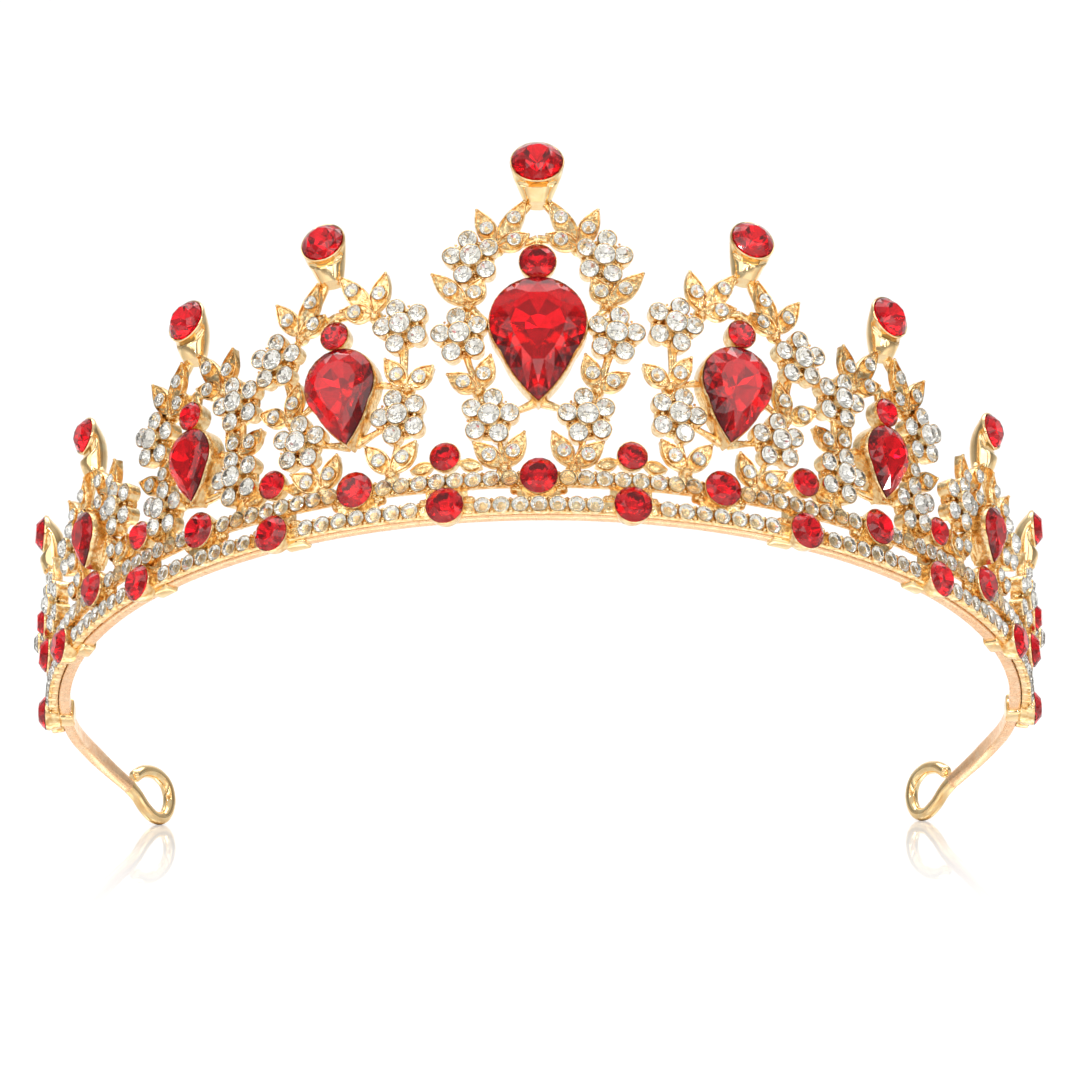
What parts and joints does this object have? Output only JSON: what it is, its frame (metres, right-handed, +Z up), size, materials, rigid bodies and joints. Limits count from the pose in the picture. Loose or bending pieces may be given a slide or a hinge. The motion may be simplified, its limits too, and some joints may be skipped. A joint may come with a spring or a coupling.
{
  "type": "tiara",
  "caption": "Gold-tone tiara: a springy head strip with curled ends carries jewelled rails and an openwork peaked panel set with red and clear stones.",
  "frame": {"origin": "centre of the head strip's front arc, at the strip's mid height, where the head's axis crosses the strip's plane", "axes": "+X across the head to the side that is on the right in a front view, +Y towards the back of the head, +Z up as worn, with the strip's plane raised 22.5 degrees at the front"},
  "size_m": [0.15, 0.097, 0.096],
  "materials": {
    "gold": "polished gold plate",
    "rose_gold": "smooth satin rose-gold plate",
    "ruby": "foil-backed faceted red glass",
    "crystal": "foil-backed faceted clear glass"
  },
  "bodies": {
    "root": {"headband": "rose_gold", "band_clips": "rose_gold", "lower_rail": "gold", "upper_rail": "gold", "motif_center": "gold", "motif_right_1": "gold", "motif_left_1": "gold", "motif_right_2": "gold", "motif_left_2": "gold", "motif_right_3": "gold", "motif_left_3": "gold", "motif_right_4": "gold", "motif_left_4": "gold", "finial_cup_center": "gold", "finial_cup_first_pair": "gold", "finial_cup_second_pair": "gold", "finial_cup_third_pair": "gold", "finial_cup_fourth_pair": "gold", "spacer_cups": "gold", "end_collets": "gold", "finial_ruby_center": "ruby", "finial_ruby_first_pair": "ruby", "finial_ruby_second_pair": "ruby", "finial_ruby_third_pair": "ruby", "finial_ruby_fourth_pair": "ruby", "pear_ruby_center": "ruby", "pear_ruby_first_pair": "ruby", "pear_ruby_second_pair": "ruby", "pear_ruby_third_pair": "ruby", "round_ruby_center": "ruby", "round_ruby_first_pair": "ruby", "round_ruby_second_pair": "ruby", "round_ruby_fourth_pair": "ruby", "lower_rail_rubies": "ruby", "upper_rail_rubies": "ruby", "spacer_rubies": "ruby", "lower_rail_stones": "crystal", "upper_rail_stones": "crystal", "end_stones": "crystal", "flower_stones_center": "crystal", "leaf_stones_center": "crystal", "flower_stones_first_pair": "crystal", "leaf_stones_first_pair": "crystal", "flower_stones_second_pair": "crystal", "leaf_stones_second_pair": "crystal", "flower_stones_third_pair": "crystal", "leaf_stones_third_pair": "crystal", "flower_stones_fourth_pair": "crystal", "leaf_stones_fourth_pair": "crystal"}
  },
  "joints": []
}
